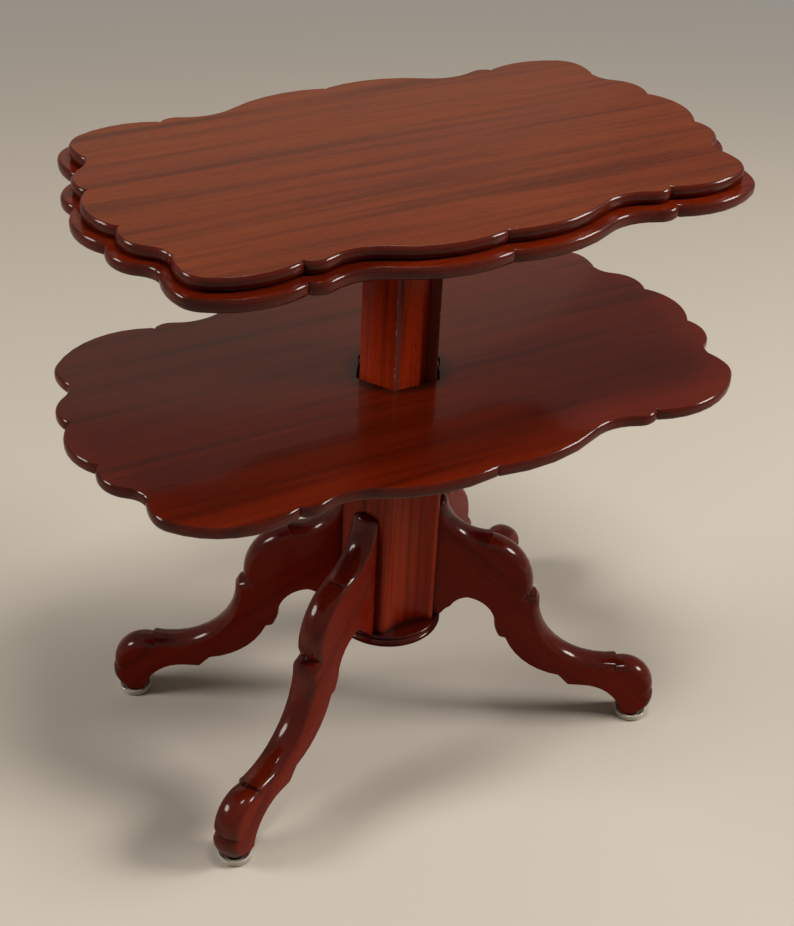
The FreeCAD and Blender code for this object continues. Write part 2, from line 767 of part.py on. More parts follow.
for name, (angle, hand) in SIDES.items():
    sleeve_stave("sleeve_stave_" + name, angle, hand, name in SPRUNG_SIDES)
cleat("sleeve_cleat_front", 0)
cleat("sleeve_cleat_back", 180)


# post
def post_pins():
    """Where the screws of the post's catches and stop block enter it, with their directions."""
    places = []
    bed = mm("post_flat") - mm("recess_depth")
    for side in SPRUNG_SIDES:
        angle = SIDES[side][0]
        for level in PIN_LEVELS:
            spot = vector(turned((bed, 0), angle), total(POST_FOOT) + post_leaf_foot + level)
            places.append((spot, vector(turned((-1, 0), angle))))
    for x, z in BLOCK_PINS:
        spot = FreeCAD.Vector(x, mm("post_front"), total(BLOCK_FOOT) + z)
        places.append((spot, FreeCAD.Vector(0, -1, 0)))
    return places


def post():
    """The hexagonal post, with beds for its catches and holes for its dowels and screws."""
    body = new_body("inner_post_blank", POST_FOOT, finished=False)
    corners = hexagon(mm("post_flat"), mm("post_front"))
    pad(body, sketch(body, "XY_Plane", polygon(corners)), "Sizes.post_length")
    plan = sketch(body, "XY_Plane", circles(POST_DOWELS, DOWEL_HOLE), "Sizes.post_length")
    pocket(body, plan, "Sizes.dowel_tail + Sizes.drill_clearance", along_normal=False)
    half = mm("leaf_width") / 2 + mm("leaf_side_clearance")
    flat, floor = mm("post_flat"), mm("post_flat") - mm("recess_depth")
    for side in SPRUNG_SIDES:
        angle = SIDES[side][0]
        bed = [turned(p, angle) for p in ((floor, -half), (flat, -half), (flat, half), (floor, half))]
        plan = sketch(body, "XY_Plane", polygon(bed), POST_LEAF_FOOT + " - Sizes.recess_margin")
        pocket(body, plan, "Sizes.leaf_height + 2 * Sizes.recess_margin")
    radius = "Sizes.pin_radius + Sizes.drill_clearance"
    depth = "Sizes.pin_bite + Sizes.drill_clearance"
    drills = doc.addObject("Part::Compound", "inner_post_drills")
    drills.Links = [rod(radius, depth, spot, inward) for spot, inward in post_pins()]
    drilled = doc.addObject("Part::Cut", "inner_post")
    drilled.Label = "inner_post"
    drilled.Base = body
    drilled.Tool = drills
    nodes.append(drilled)


def stop_block():
    """The block in the back slot that meets the middle board when the post is right up."""
    half, height = mm("block_width") / 2, mm("block_height")
    body = new_body("post_stop_block", BLOCK_FOOT)
    face = polygon([(-half, 0), (half, 0), (half, height), (-half, height)])
    plan = sketch(body, "XZ_Plane", face + circles(BLOCK_PINS, PIN_HOLE), "-Sizes.post_front")
    slab = pad(body, plan, "Sizes.block_depth")
    slab.Reversed = True


post()
stop_block()

# catches
for side in SPRUNG_SIDES:
    angle = SIDES[side][0]
    level = f"{SLEEVE_FOOT} + {SLEEVE_LEAF_FOOT}"
    leaf("sleeve_catch_" + side, level, mm("sleeve_flat"), angle, mm("leaf_splay"))
    level = f"{POST_FOOT} + {POST_LEAF_FOOT}"
    leaf("post_catch_" + side, level, mm("post_flat"), angle, -mm("leaf_tuck"))

# dowels and screws
DOWEL_LENGTH = "Sizes.dowel_tail + Sizes.dowel_depth"
LEG_DOWEL_LENGTH = "Sizes.leg_dowel_depth + Sizes.leg_dowel_tail"
DISC_SCREW_LENGTH = "Sizes.disc_thickness + Sizes.disc_screw_bite"
leg_dowels, plate_dowels, disc_screws, sleeve_dowels, post_dowels = [], [], [], [], []
column_top, disc_foot = total(COLUMN_TOP), mm("column_base") - mm("disc_thickness")
for angle, hand in SIDES.values():
    outward = vector(turned((1, 0), angle))
    start = vector(turned((mm("column_flat") - mm("leg_dowel_depth"), 0), angle))
    for level in LEG_DOWEL_LEVELS:
        base = start + UP * (mm("column_base") + level)
        leg_dowels.append(rod("Sizes.leg_dowel_radius", LEG_DOWEL_LENGTH, base, outward))
for place in STAVE_CENTRES:
    base = vector(place, column_top - mm("dowel_tail"))
    plate_dowels.append(rod("Sizes.dowel_radius", DOWEL_LENGTH, base))
    disc_screws.append(screw("screw", DISC_SCREW_LENGTH, vector(place, disc_foot)))
for place in SLEEVE_DOWELS:
    base = vector(place, total(MIDDLE_SEAT) - mm("dowel_tail"))
    sleeve_dowels.append(rod("Sizes.dowel_radius", DOWEL_LENGTH, base))
for place in POST_DOWELS:
    base = vector(place, total(TOP_SEAT) - mm("dowel_tail"))
    post_dowels.append(rod("Sizes.dowel_radius", DOWEL_LENGTH, base))
plate_screws = [
    screw("screw", "Sizes.plate_thickness + Sizes.screw_bite", vector(place, column_top))
    for place in PLATE_SCREWS
]


def leaf_screws(flat, foot):
    """The two small screws of each leaf on the sprung sides of the sleeve or post."""
    screws = []
    for side in SPRUNG_SIDES:
        angle = SIDES[side][0]
        inward = vector(turned((-1, 0), angle))
        face = vector(turned((flat - mm("recess_depth") + mm("leaf_thickness"), 0), angle))
        for level in PIN_LEVELS:
            base = face + UP * (foot + level)
            screws.append(screw("pin", "Sizes.leaf_thickness + Sizes.pin_bite", base, inward))
    return screws


BLOCK_SCREW_LENGTH = "Sizes.block_depth + Sizes.pin_bite"
forward = FreeCAD.Vector(0, -1, 0)
block_screws = []
for x, z in BLOCK_PINS:
    base = FreeCAD.Vector(x, mm("post_front") + mm("block_depth"), total(BLOCK_FOOT) + z)
    block_screws.append(screw("pin", BLOCK_SCREW_LENGTH, base, forward))

group("leg_dowels", leg_dowels)
group("plate_dowels", plate_dowels)
group("plate_screws", plate_screws)
group("disc_screws", disc_screws)
group("sleeve_dowels", sleeve_dowels)
group("sleeve_catch_screws", leaf_screws(mm("sleeve_flat"), total(SLEEVE_FOOT) + sleeve_leaf_foot))
group("post_dowels", post_dowels)
group("post_catch_screws", leaf_screws(mm("post_flat"), total(POST_FOOT) + post_leaf_foot))
group("stop_block_screws", block_screws)

doc.recompute()
for item in doc.Objects:
    if "Invalid" in item.State or "Error" in item.State:
        raise ValueError(item.Label + " did not compute")
for node in nodes:
    if node.Shape.isNull() or not node.Shape.isValid():
        raise ValueError(node.Label + " has no valid shape")
for node in nodes:
    node.Shape.exportStep(f"parts/{node.Label}.step")
print(len(nodes), "pieces written")
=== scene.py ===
# %% [markdown]
# # A telescopic serving table in polished mahogany
# Three scalloped boards ride on a hexagonal pillar above four scrolled legs. The table stands half
# raised: the top board lies on the middle board, and both stand on the sleeve of the pillar.
# The solids come from the construction model. This lesson gives them the forms and the finish that
# a camera sees: rounded edges, turned beads, French-polished wood, black iron and clear cups.

# %% Load the construction model
import math
import bpy
import bmesh
from mathutils import Matrix, Vector


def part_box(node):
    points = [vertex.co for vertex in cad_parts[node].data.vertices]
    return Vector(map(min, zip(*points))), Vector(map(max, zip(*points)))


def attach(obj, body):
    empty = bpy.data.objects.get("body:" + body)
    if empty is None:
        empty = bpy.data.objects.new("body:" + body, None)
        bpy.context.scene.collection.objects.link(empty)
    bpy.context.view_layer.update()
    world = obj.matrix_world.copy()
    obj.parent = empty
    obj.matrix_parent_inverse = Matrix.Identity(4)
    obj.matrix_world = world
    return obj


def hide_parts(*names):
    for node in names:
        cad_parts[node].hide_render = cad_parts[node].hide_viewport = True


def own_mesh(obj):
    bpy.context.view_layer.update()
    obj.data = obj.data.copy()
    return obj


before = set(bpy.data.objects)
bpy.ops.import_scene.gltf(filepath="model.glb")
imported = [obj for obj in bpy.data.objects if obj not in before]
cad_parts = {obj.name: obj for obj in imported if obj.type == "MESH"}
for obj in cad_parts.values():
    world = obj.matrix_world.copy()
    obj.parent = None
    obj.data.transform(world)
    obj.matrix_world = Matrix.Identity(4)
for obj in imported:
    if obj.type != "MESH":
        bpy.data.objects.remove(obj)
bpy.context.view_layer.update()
scene = bpy.context.scene
scene.view_settings.view_transform = "Standard"
MM = 0.001

# %% [markdown]
# ## One grain for all the wood
# Mahogany has long darker streaks, a soft cloudy figure and short open pores, all drawn out along
# the grain. They could be painted or photographed; noise that is squeezed across the grain gives
# them without an image and never repeats. The group takes a vector whose X runs along the grain, so
# that every piece can say how its plank was cut, and it puts out a colour, a roughness and a height.

# %% Helpers for shader nodes
def link(tree, source, target):
    tree.links.new(source, target)


def placed_node(tree, kind, **values):
    """A shader node with some of its inputs set."""
    node = tree.nodes.new(kind)
    for name, value in values.items():
        node.inputs[name.replace("_", " ")].default_value = value
    return node


def combined(tree, operation, first, second):
    """Two values joined by one operation of the Math node."""
    node = tree.nodes.new("ShaderNodeMath")
    node.operation = operation
    link(tree, first, node.inputs[0])
    link(tree, second, node.inputs[1])
    return node.outputs[0]


def mixed(tree, factor, first, second, blend="MIX"):
    """A colour mix; each of the three may be a socket or a plain value."""
    node = tree.nodes.new("ShaderNodeMix")
    node.data_type = "RGBA"
    node.blend_type = blend
    for socket, value in zip((node.inputs[0], node.inputs[6], node.inputs[7]), (factor, first, second)):
        if hasattr(value, "is_output"):
            link(tree, value, socket)
        else:
            socket.default_value = value
    return node.outputs[2]


def ranged(tree, value, low, high, to_low=0.0, to_high=1.0):
    """A value stretched from one range to another."""
    node = placed_node(
        tree, "ShaderNodeMapRange", From_Min=low, From_Max=high, To_Min=to_low, To_Max=to_high)
    link(tree, value, node.inputs["Value"])
    return node.outputs["Result"]


def squeezed_noise(tree, vector, squeeze, scale, detail, distortion=0.0):
    """Noise on a vector that is first scaled axis by axis, so that it can be squeezed across X."""
    mapping = placed_node(tree, "ShaderNodeMapping", Scale=squeeze)
    link(tree, vector, mapping.inputs["Vector"])
    noise = placed_node(
        tree, "ShaderNodeTexNoise", Scale=scale, Detail=detail, Roughness=0.55, Distortion=distortion)
    link(tree, mapping.outputs[0], noise.inputs["Vector"])
    return noise.outputs[0]


def node_group(title, inputs, outputs):
    """A shader node group with its named sockets, and the two ends to link to."""
    tree = bpy.data.node_groups.new(title, "ShaderNodeTree")
    for way, sockets in (("INPUT", inputs), ("OUTPUT", outputs)):
        for name, kind in sockets.items():
            tree.interface.new_socket(name, in_out=way, socket_type="NodeSocket" + kind)
    return tree, tree.nodes.new("NodeGroupInput").outputs, tree.nodes.new("NodeGroupOutput").inputs


print("node helpers ready")

# %% The mahogany grain group
grain, given, result = node_group(
    "mahogany_grain",
    {"Vector": "Vector", "Dark": "Color", "Body": "Color", "Light": "Color", "Pores": "Float"},
    {"Color": "Color", "Roughness": "Float", "Height": "Float"},
)
place = given["Vector"]
streaks = squeezed_noise(grain, place, squeeze=(0.6, 17.0, 17.0), scale=2.4, detail=6.0, distortion=0.35)
figure = squeezed_noise(grain, place, squeeze=(0.9, 3.2, 3.2), scale=2.0, detail=2.0, distortion=0.6)
fibres = squeezed_noise(grain, place, squeeze=(3.0, 150.0, 150.0), scale=2.2, detail=4.0)
pores = squeezed_noise(grain, place, squeeze=(22.0, 480.0, 480.0), scale=2.4, detail=1.0)
wood = mixed(grain, ranged(grain, figure, 0.30, 0.70), given["Body"], given["Light"])
wood = mixed(grain, ranged(grain, streaks, 0.52, 0.30, to_high=0.75), wood, given["Dark"])
wood = mixed(grain, ranged(grain, fibres, 0.35, 0.75, to_high=0.40), wood, given["Dark"])
depth = combined(grain, "MULTIPLY", ranged(grain, pores, 0.60, 0.72), given["Pores"])
wood = mixed(grain, depth, wood, given["Dark"], "MULTIPLY")
link(grain, wood, result["Color"])
link(grain, ranged(grain, figure, 0.3, 0.7, to_low=0.20, to_high=0.32), result["Roughness"])
link(grain, ranged(grain, depth, 0.0, 1.0, to_low=0.5, to_high=0.0), result["Height"])
print("group", grain.name, "with", len(grain.nodes), "nodes")

# %% [markdown]
# ## Painted shade in the corner joints
# Where a leg meets the column and under the beads, the colour is darkened as painted shade. The
# ambient-occlusion node measures how sheltered a place is within 30 mm, and the group mixes a near
# black into the colour there.

# %% The painted corner shade group
# Painted shade: how far to look for shelter, and the near black mixed in where a place is sheltered.
SHELTER_REACH, SHELTER_SAMPLES = 30 * MM, 16
CORNER_SHADE_COLOUR = (0.010, 0.003, 0.002, 1.0)
corner_shade_group, given, result = node_group(
    "painted_corner_shade", {"Color": "Color", "Amount": "Float"}, {"Color": "Color"})
shelter = placed_node(corner_shade_group, "ShaderNodeAmbientOcclusion", Distance=SHELTER_REACH)
shelter.samples = SHELTER_SAMPLES
shade_depth = ranged(corner_shade_group, shelter.outputs["AO"], 0.80, 0.40)
amount = combined(corner_shade_group, "MULTIPLY", shade_depth, given["Amount"])
link(corner_shade_group, mixed(corner_shade_group, amount, given["Color"], CORNER_SHADE_COLOUR), result["Color"])
print("group", corner_shade_group.name, "with", len(corner_shade_group.nodes), "nodes")

# %% [markdown]
# ## Polished finishes
# French polish is a thin glossy film over stained wood. The colour sits in the base of a Principled
# shader, and a coat gives the sharp reflection of the film. Wooden pieces that are modelled here carry
# an attribute with their own grain direction; the solids that stay as they are have upright grain.
# Each finish gives three colours, for the dark streaks, the body of the wood and its lighter figure.

# %% Making a polished finish
NARROW = 1.8
FILM_IOR = 2.2
WOOD_SPECULAR, WOOD_TINT = 0.06, (1.0, 0.65, 0.50, 1.0)
PORE_STRENGTH, PORE_DEPTH = 0.12, 0.4 * MM


def shaded(title, roughness=0.5, metallic=0.0):
    """A new material, its node tree and its shader."""
    material = bpy.data.materials.new(title)
    material.use_nodes = True
    shader = material.node_tree.nodes["Principled BSDF"]
    shader.inputs["Roughness"].default_value = roughness
    shader.inputs["Metallic"].default_value = metallic
    return material, material.node_tree, shader


def placed_group(tree, group, **values):
    """A node group placed in a material, with its own values."""
    node = tree.nodes.new("ShaderNodeGroup")
    node.node_tree = group
    for name, value in values.items():
        node.inputs[name].default_value = value
    return node


def grain_of(tree, colours, pores):
    """The mahogany grain in three colours."""
    dark, body, light = [(*colour, 1.0) for colour in colours]
    return placed_group(tree, grain, Dark=dark, Body=body, Light=light, Pores=pores)


def object_place(tree):
    """The place on the piece, in its own coordinates."""
    return tree.nodes.new("ShaderNodeTexCoord").outputs["Object"]


def upright_place(tree, fine=1.0):
    """The place on a piece whose grain stands upright, with X along the grain."""
    mapping = placed_node(tree, "ShaderNodeMapping", Rotation=(0.0, math.radians(90), 0.0))
    mapping.inputs["Scale"].default_value = (fine, fine, 1.0)
    link(tree, object_place(tree), mapping.inputs["Vector"])
    return mapping.outputs[0]


def polished(title, colours, pores, coat, coat_roughness, upright=False, corner=0.0):
    material, tree, shader = shaded(title)
    wood = grain_of(tree, colours, pores)
    if upright:
        link(tree, upright_place(tree, NARROW), wood.inputs["Vector"])
    else:
        plank = tree.nodes.new("ShaderNodeAttribute")
        plank.attribute_name = "grain"
        link(tree, plank.outputs["Vector"], wood.inputs["Vector"])
    colour = wood.outputs["Color"]
    # Sheltered places darken with painted shade, by the given corner amount.
    if corner:
        corner_shading = placed_group(tree, corner_shade_group, Amount=corner)
        link(tree, colour, corner_shading.inputs["Color"])
        colour = corner_shading.outputs["Color"]
    link(tree, colour, shader.inputs["Base Color"])
    link(tree, wood.outputs["Roughness"], shader.inputs["Roughness"])
    bump = placed_node(tree, "ShaderNodeBump", Strength=PORE_STRENGTH, Distance=PORE_DEPTH)
    link(tree, wood.outputs["Height"], bump.inputs["Height"])
    link(tree, bump.outputs[0], shader.inputs["Normal"])
    shader.inputs["Coat Weight"].default_value = coat
    shader.inputs["Coat Roughness"].default_value = coat_roughness
    shader.inputs["Coat IOR"].default_value = FILM_IOR
    shader.inputs["Specular IOR Level"].default_value = WOOD_SPECULAR
    shader.inputs["Specular Tint"].default_value = WOOD_TINT
    return material


print("polish ready")

# %% Polished mahogany for each part of the table
TOP_COLOURS = ((0.048, 0.007, 0.002), (0.136, 0.018, 0.003), (0.178, 0.033, 0.006))
# Darker colours for the lower and middle boards: painted shade of the boards above.
SHADED_BOARD_COLOURS = ((0.048, 0.004, 0.001), (0.115, 0.007, 0.001), (0.156, 0.014, 0.002))
# Darker colours for the moulded edges and undersides of the boards: painted shade.
SHADED_EDGE_COLOURS = ((0.026, 0.003, 0.001), (0.072, 0.005, 0.001), (0.105, 0.010, 0.002))
LEG_COLOURS = ((0.056, 0.003, 0.001), (0.140, 0.006, 0.001), (0.190, 0.012, 0.002))
# Darker colours for the leg crowns and the base disc: painted shade of the boards above.
SHADED_CROWN_COLOURS = ((0.028, 0.002, 0.001), (0.084, 0.005, 0.001), (0.118, 0.009, 0.002))
# Lighter colours for the column, sleeve and post: painted light, standing in for the light they miss under
# the boards.
LIT_COLUMN_COLOURS = ((0.054, 0.004, 0.001), (0.212, 0.011, 0.002), (0.330, 0.034, 0.004))
LIT_SLEEVE_COLOURS = ((0.112, 0.007, 0.001), (0.335, 0.017, 0.003), (0.450, 0.038, 0.006))
LIT_POST_COLOURS = ((0.140, 0.010, 0.002), (0.430, 0.023, 0.004), (0.560, 0.052, 0.008))
# Cut wood inside the slot, darkened with painted shade.
SHADED_CUT_COLOURS = ((0.050, 0.008, 0.005), (0.130, 0.020, 0.012), (0.185, 0.034, 0.022))

TOP_WOOD = polished("top_mahogany", TOP_COLOURS, 0.5, coat=0.05, coat_roughness=0.20)
LOWER_WOOD = polished("lower_mahogany", SHADED_BOARD_COLOURS, 0.4, coat=0.12, coat_roughness=0.08)
MIDDLE_WOOD = polished("middle_mahogany", SHADED_BOARD_COLOURS, 0.4, coat=0.10, coat_roughness=0.10)
EDGE_WOOD = polished("edge_mahogany", SHADED_EDGE_COLOURS, 0.3, coat=0.11, coat_roughness=0.07)
LEG_WOOD = polished("leg_mahogany", LEG_COLOURS, 0.3, coat=0.02, coat_roughness=0.12, corner=0.9)
CROWN_WOOD = polished("crown_mahogany", SHADED_CROWN_COLOURS, 0.3, coat=0.11, coat_roughness=0.08, corner=0.9)
COLUMN_WOOD = polished("column_mahogany", LIT_COLUMN_COLOURS, 0.4, coat=0.03, coat_roughness=0.12, corner=0.9)
UPRIGHT_WOOD = polished(
    "upright_mahogany", LIT_COLUMN_COLOURS, 0.4, coat=0.03, coat_roughness=0.12, upright=True, corner=0.9)
SLEEVE_WOOD = polished("sleeve_mahogany", LIT_SLEEVE_COLOURS, 0.8, coat=0.03, coat_roughness=0.15)
POST_WOOD = polished("post_mahogany", LIT_POST_COLOURS, 0.8, coat=0.03, coat_roughness=0.15, upright=True)
SHADED_CUT_WOOD = polished("shaded_cut_mahogany", SHADED_CUT_COLOURS, 0.8, coat=0.0, coat_roughness=0.2)
print("polished woods made")

# %% [markdown]
# ## Worn, raw and mottled finishes
# The arrises of the slot have lost their polish in short chips, which a fine noise cuts out along
# their length. Round the pillar the lower board is darkened in a ring, which follows the distance
# from the pillar. Hidden pieces show raw wood. The iron is blackened and a
# little scaly, the screws are dull steel, and the cups are a cloudy clear plastic with a few smudges:
# one group mottles all three and varies their sheen.

# %% Chipped arrises and the dark ring
EVEN = (1.0, 1.0, 1.0)
ARRIS_COLOUR, CHIP_COLOUR = (0.11, 0.016, 0.006, 1.0), (0.45, 0.28, 0.20, 1.0)
RING_OUTER, RING_INNER = 85 * MM, 66 * MM
RING_COLOUR, RING_AMOUNT = (0.012, 0.004, 0.002, 1.0), 0.8
RING_SCALE = (1.0, 1.08, 0.0)


def distance(tree, vector):
    """How far a place is from the origin."""
    node = tree.nodes.new("ShaderNodeVectorMath")
    node.operation = "LENGTH"
    link(tree, vector, node.inputs[0])
    return node.outputs["Value"]


WORN_WOOD, tree, shader = shaded("worn_mahogany")
chips = squeezed_noise(tree, object_place(tree), EVEN, scale=150.0, detail=2.0)
chipped = mixed(tree, ranged(tree, chips, 0.55, 0.66), ARRIS_COLOUR, CHIP_COLOUR)
link(tree, chipped, shader.inputs["Base Color"])

# The lower board is darkened in a ring round the pillar.
tree = LOWER_WOOD.node_tree
base_colour = tree.nodes["Principled BSDF"].inputs["Base Color"]
flat_place = placed_node(tree, "ShaderNodeMapping", Scale=RING_SCALE)
link(tree, object_place(tree), flat_place.inputs["Vector"])
reach = distance(tree, flat_place.outputs[0])
ring = ranged(tree, reach, RING_OUTER, RING_INNER, to_high=RING_AMOUNT)
link(tree, mixed(tree, ring, base_colour.links[0].from_socket, RING_COLOUR), base_colour)
print("worn finishes made")

# %% Raw wood
RAW_COLOURS = ((0.05, 0.018, 0.008), (0.11, 0.042, 0.020), (0.15, 0.062, 0.032))
DOWEL_COLOURS = ((0.36, 0.23, 0.12), (0.52, 0.36, 0.21), (0.60, 0.44, 0.28))


def raw(title, colours):
    """Unpolished wood with upright grain."""
    material, tree, shader = shaded(title, roughness=0.65)
    wood = grain_of(tree, colours, pores=0.9)
    link(tree, upright_place(tree), wood.inputs["Vector"])
    link(tree, wood.outputs["Color"], shader.inputs["Base Color"])
    return material


RAW_WOOD = raw("hidden_wood", RAW_COLOURS)
DOWEL_WOOD = raw("dowel_wood", DOWEL_COLOURS)
print("raw woods made")

# %% Iron, steel and clear cups
IRON_COLOURS = ((0.008, 0.007, 0.006), (0.022, 0.018, 0.015))
STEEL_COLOURS = ((0.26, 0.24, 0.21), (0.38, 0.36, 0.33))
CUP_COLOURS = ((0.70, 0.63, 0.52), (0.80, 0.74, 0.64))
mottle, given, result = node_group(
    "mottle",
    {"Vector": "Vector", "Scale": "Float", "Dark": "Color", "Light": "Color",
     "Smooth": "Float", "Rough": "Float"},
    {"Color": "Color", "Roughness": "Float"},
)
spots = placed_node(mottle, "ShaderNodeTexNoise", Detail=3.0, Roughness=0.55)
link(mottle, given["Vector"], spots.inputs["Vector"])
link(mottle, given["Scale"], spots.inputs["Scale"])
blotch = ranged(mottle, spots.outputs[0], 0.35, 0.65)
link(mottle, mixed(mottle, blotch, given["Dark"], given["Light"]), result["Color"])
sheen = placed_node(mottle, "ShaderNodeMapRange")
link(mottle, blotch, sheen.inputs["Value"])
link(mottle, given["Smooth"], sheen.inputs["To Min"])
link(mottle, given["Rough"], sheen.inputs["To Max"])
link(mottle, sheen.outputs["Result"], result["Roughness"])


def mottled(title, colours, smooth, rough, scale, metallic=0.0):
    """A fine mottle of two colours, whose sheen varies with it."""
    material, tree, shader = shaded(title, metallic=metallic)
    dark, light = [(*colour, 1.0) for colour in colours]
    spotted = placed_group(tree, mottle, Scale=scale, Dark=dark, Light=light, Smooth=smooth, Rough=rough)
    link(tree, object_place(tree), spotted.inputs["Vector"])
    link(tree, spotted.outputs["Color"], shader.inputs["Base Color"])
    link(tree, spotted.outputs["Roughness"], shader.inputs["Roughness"])
    return material


IRON = mottled("catch_iron", IRON_COLOURS, smooth=0.34, rough=0.55, scale=260.0, metallic=0.6)
STEEL = mottled("screw_steel", STEEL_COLOURS, smooth=0.30, rough=0.48, scale=400.0, metallic=1.0)
CLEAR = mottled("clear_cup", CUP_COLOURS, smooth=0.02, rough=0.08, scale=60.0)
clear_inputs = CLEAR.node_tree.nodes["Principled BSDF"].inputs
clear_inputs["Transmission Weight"].default_value = 0.4
clear_inputs["IOR"].default_value = 1.45
print("small finishes made")

# %% [markdown]
# ## Drawing with a travelling point
# Every profile on this table is straights and arcs. Instead of listing the points of a curve, one
# vertex travels along the outline: it is extruded for a straight and spun about a centre for an arc,
# and leaves edges behind it. The same pen draws the scallops of a board, the scrolls of a leg and
# the profile of a bead.

# %% The pen
ARC_STEP = math.radians(9)
SAME_POINT = 0.01 * MM
BMVert, BMEdge = bmesh.types.BMVert, bmesh.types.BMEdge


def only(kind, items):
    """The items of one kind, such as vertices, out of what an operator hands back."""
    return [item for item in items if isinstance(item, kind)]


def pen(bm, start, steps):
    """Draws edges in the XY plane. A step is a point, or a pair of (centre, end) for an arc."""
    tip = bm.verts.new((start[0], start[1], 0.0))
    for step in steps:
        if isinstance(step[0], (float, int)):
            tip = bmesh.ops.extrude_vert_indiv(bm, verts=[tip])["verts"][0]
            tip.co.xy = step
        else:
            centre, end = Vector(step[0]), Vector(step[1])
            angle = (tip.co.xy - centre).angle_signed(end - centre)
            spun = bmesh.ops.spin(
                bm, geom=[tip], cent=(*centre, 0.0), axis=(0.0, 0.0, -1.0), angle=angle,
                steps=max(3, round(abs(angle) / ARC_STEP)),
            )
            tip = only(BMVert, spun["geom_last"])[0]
            tip.co.xy = end
    bmesh.ops.remove_doubles(bm, verts=bm.verts, dist=SAME_POINT)


def arc_centre(a, b, c):
    """The centre of the circle through three points."""
    a, b, c = Vector(a), Vector(b), Vector(c)
    first, second = b - a, c - a
    cross = 2 * first.cross(second)
    lift = Vector((
        second.y * first.length_squared - first.y * second.length_squared,
        first.x * second.length_squared - second.x * first.length_squared,
    ))
    return tuple(a + lift / cross)


def metres(points, start):
    """Steps in millimetres, with a point on each arc, as pen steps in metres about arc centres."""
    steps = []
    for step in points:
        if isinstance(step[0], tuple):
            centre = arc_centre(start, *step)
            steps.append((tuple(c * MM for c in centre), tuple(c * MM for c in step[1])))
            start = step[1]
        else:
            steps.append(tuple(c * MM for c in step))
            start = step
    return steps


print("pen ready")

# %% From an outline to a piece
UP = (0.0, 0.0, 1.0)


def fill(bm, edges):
    """Fills outlines that lie flat; an outline within another stays open as a hole."""
    bmesh.ops.triangle_fill(bm, edges=edges, use_beauty=True, use_dissolve=True, normal=UP)


def slab(bm, thickness):
    """Fills the drawn outline, holes left open, and thickens it upwards."""
    fill(bm, bm.edges[:])
    grown = bmesh.ops.extrude_face_region(bm, geom=bm.faces[:], use_keep_orig=True)
    bmesh.ops.translate(bm, verts=only(BMVert, grown["geom"]), vec=(0.0, 0.0, thickness))
    bmesh.ops.recalc_face_normals(bm, faces=bm.faces)


def soften(bm, edges, radius, segments):
    bmesh.ops.bevel(
        bm, geom=edges, offset=radius, offset_type="OFFSET", segments=segments, profile=0.5,
        affect="EDGES", material=-1, clamp_overlap=False,
    )


def everything(bm):
    return bm.verts[:] + bm.edges[:] + bm.faces[:]


def move(bm, step):
    bmesh.ops.translate(bm, verts=bm.verts, vec=step)


def turn(bm, degrees, axis):
    turned = Matrix.Rotation(math.radians(degrees), 3, axis)
    bmesh.ops.rotate(bm, verts=bm.verts, cent=(0, 0, 0), matrix=turned)


def remember_grain(bm, along=(1, 0, 0), across=(0, 1, 0), shift=0.0, fine=1.0):
    """Keeps each vertex's place on its plank, X along the grain, before the piece is turned."""
    layer = bm.verts.layers.float_vector.new("grain")
    along, across = Vector(along).normalized(), Vector(across).normalized()
    through = along.cross(across)
    for vert in bm.verts:
        spot = Vector((vert.co.dot(along), fine * vert.co.dot(across), fine * vert.co.dot(through)))
        vert[layer] = spot + Vector((1.0, 1.7, 1.0)) * shift


def finished(bm, title, body, materials, stands_for, crease=30.0):
    """Smooths the gentle edges, makes the object and gives it its body, finishes and place."""
    for face in bm.faces:
        face.smooth = True
    for edge in bm.edges:
        edge.smooth = len(edge.link_faces) == 2 and edge.calc_face_angle() < math.radians(crease)
    mesh = bpy.data.meshes.new(title)
    bm.to_mesh(mesh)
    bm.free()
    piece = bpy.data.objects.new(title, mesh)
    scene.collection.objects.link(piece)
    for material in materials:
        mesh.materials.append(material)
    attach(piece, body)
    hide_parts(*stands_for)
    return piece


print("shaping helpers ready")

# %% [markdown]
# ## The scalloped boards
# Each board is sawn to four mirrored quarters of lobes, hollows and notches, the notches are filed to
# a small nick, and the edge is moulded, which leaves a mitred crease in every nick. A quarter is
# drawn as arcs about their centres: neighbouring arcs are tangent where the edge is smooth, and break
# off on either side of a nick. Bevelling the upper and lower outline of the slab moulds the edge,
# creases included. The slab starts a little too thick, and planing it down after the bevel leaves a
# crisp arris round the top. The plane goes a hair below the solid, so that closed boards, which rest
# on each other, don't share a plane.

# %% The outline of a board
NICK_HALF, NICK_DEPTH = 2.4 * MM, 1.3 * MM
LOBE_X, BULGE_R = 54 * MM, 32 * MM
CROWN_R, SIDE_R, CORNER_R, END_R = 140 * MM, 95 * MM, 44 * MM, 52 * MM
SIDE_Y, CORNER_NOTCH_Y, SIDE_DROP = 182 * MM, 152 * MM, 30 * MM
END_Y, END_NOTCH_Y, END_DROP = 80 * MM, 56 * MM, 24 * MM


def swing(run, rise):
    """Sum of the radii of two arcs that sway smoothly from one crest to the next."""
    return (run ** 2 + rise ** 2) / (2 * rise)


def third_side(long_side, short_side):
    """The third side of a right-angled triangle."""
    return math.sqrt(long_side ** 2 - short_side ** 2)


def shoulder(notch, centre, way):
    """A point on the arc about a centre, a little before or after a notch, going clockwise."""
    outward = 1 if centre.length < notch.length else -1
    spot = notch - centre
    spot.rotate(Matrix.Rotation(-way * outward * NICK_HALF / spot.length, 2))
    return centre + spot


def nick(notch, before, after, inward):
    """The arc up to a nick, its bottom and its far shoulder, as steps of the pen."""
    bottom = notch + Vector(inward).normalized() * NICK_DEPTH
    return [(before, shoulder(notch, before, -1)), tuple(bottom), tuple(shoulder(notch, after, 1))]


